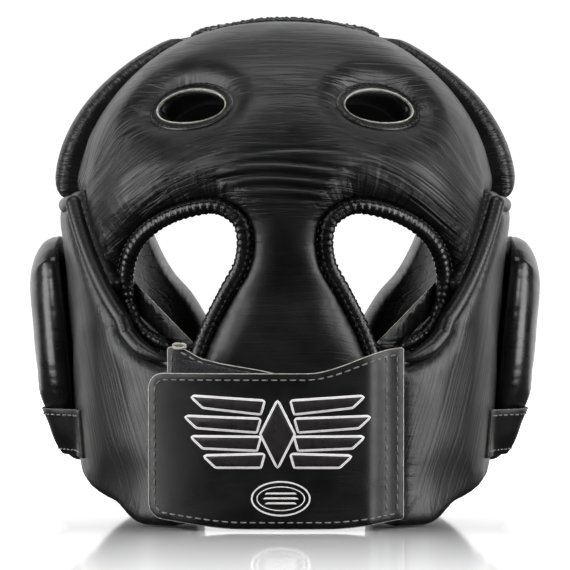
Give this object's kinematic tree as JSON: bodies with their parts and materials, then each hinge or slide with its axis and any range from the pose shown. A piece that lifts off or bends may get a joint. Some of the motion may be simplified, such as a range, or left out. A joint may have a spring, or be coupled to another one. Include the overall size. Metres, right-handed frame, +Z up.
{
  "type": "boxing headgear",
  "caption": "Padded leather boxing headgear with ear pads, open face, vents, neck openings and a hook-and-loop flap behind the neck",
  "frame": {"origin": "middle of the bounding box's bottom, where the headgear stands on its lower edge", "axes": "+Z up; +Y out of the face opening; -Y out of the rear closure; +X to the right as seen from behind, the wearer's right"},
  "size_m": [0.2598, 0.2686, 0.2561],
  "materials": {
    "cover_leather": "black grained leather, satin with worn gloss",
    "lining_leather": "soft matt black leather",
    "foam": "closed-cell foam",
    "binding_leather": "thin glossy black leather, gathered",
    "strap_leather": "flat black leather with pale cut edges and stitching",
    "tape": "black hook-and-loop tape",
    "print": "pale transfer print"
  },
  "bodies": {
    "headguard": {"brow_cover": "cover_leather", "dome_cover": "cover_leather", "wing_cover_right": "cover_leather", "wing_cover_left": "cover_leather", "cheek_cover_right": "cover_leather", "cheek_cover_left": "cover_leather", "ear_pad_cover_right": "cover_leather", "ear_pad_cover_left": "cover_leather", "brow_lining": "lining_leather", "dome_lining": "lining_leather", "wing_lining_right": "lining_leather", "wing_lining_left": "lining_leather", "cheek_lining_right": "lining_leather", "cheek_lining_left": "lining_leather", "brow_foam": "foam", "dome_foam": "foam", "wing_foam_right": "foam", "wing_foam_left": "foam", "cheek_foam_right": "foam", "cheek_foam_left": "foam", "ear_pad_foam_right": "foam", "ear_pad_foam_left": "foam", "vent_ring_right": "binding_leather", "vent_ring_left": "binding_leather", "neck_binding_right": "binding_leather", "neck_binding_left": "binding_leather", "crown_binding_front": "binding_leather", "crown_binding_rear": "binding_leather", "loop_tab": "strap_leather", "chin_strap_left": "strap_leather", "chin_strap_right": "strap_leather", "crown_tab_rear": "strap_leather", "crown_tab_front": "strap_leather", "loop_patch": "tape", "chin_loop_patch": "tape", "crown_loop_patch": "tape"},
    "closure_flap_body": {"closure_flap": "strap_leather", "closure_flap_lining": "lining_leather", "hook_patch": "tape", "emblem_print": "print", "badge_print": "print"},
    "chin_flap_body": {"chin_flap": "strap_leather", "chin_hook_patch": "tape"},
    "crown_flap_body": {"crown_flap": "strap_leather", "crown_hook_patch": "tape"}
  },
  "joints": [
    {"name": "closure_flap_hinge", "type": "hinge", "parent": "headguard", "child": "closure_flap_body", "pos_m": [0.0565, -0.115, 0.045], "axis": [0, 0, 1], "range_deg": [0, 120]},
    {"name": "chin_flap_hinge", "type": "hinge", "parent": "headguard", "child": "chin_flap_body", "pos_m": [0.0661, 0.0957, 0.042], "axis": [0, 0, -1], "range_deg": [0, 100]},
    {"name": "crown_flap_hinge", "type": "hinge", "parent": "headguard", "child": "crown_flap_body", "pos_m": [0, 0.01324, 0.2451], "axis": [-1, 0, 0], "range_deg": [0, 90]}
  ]
}
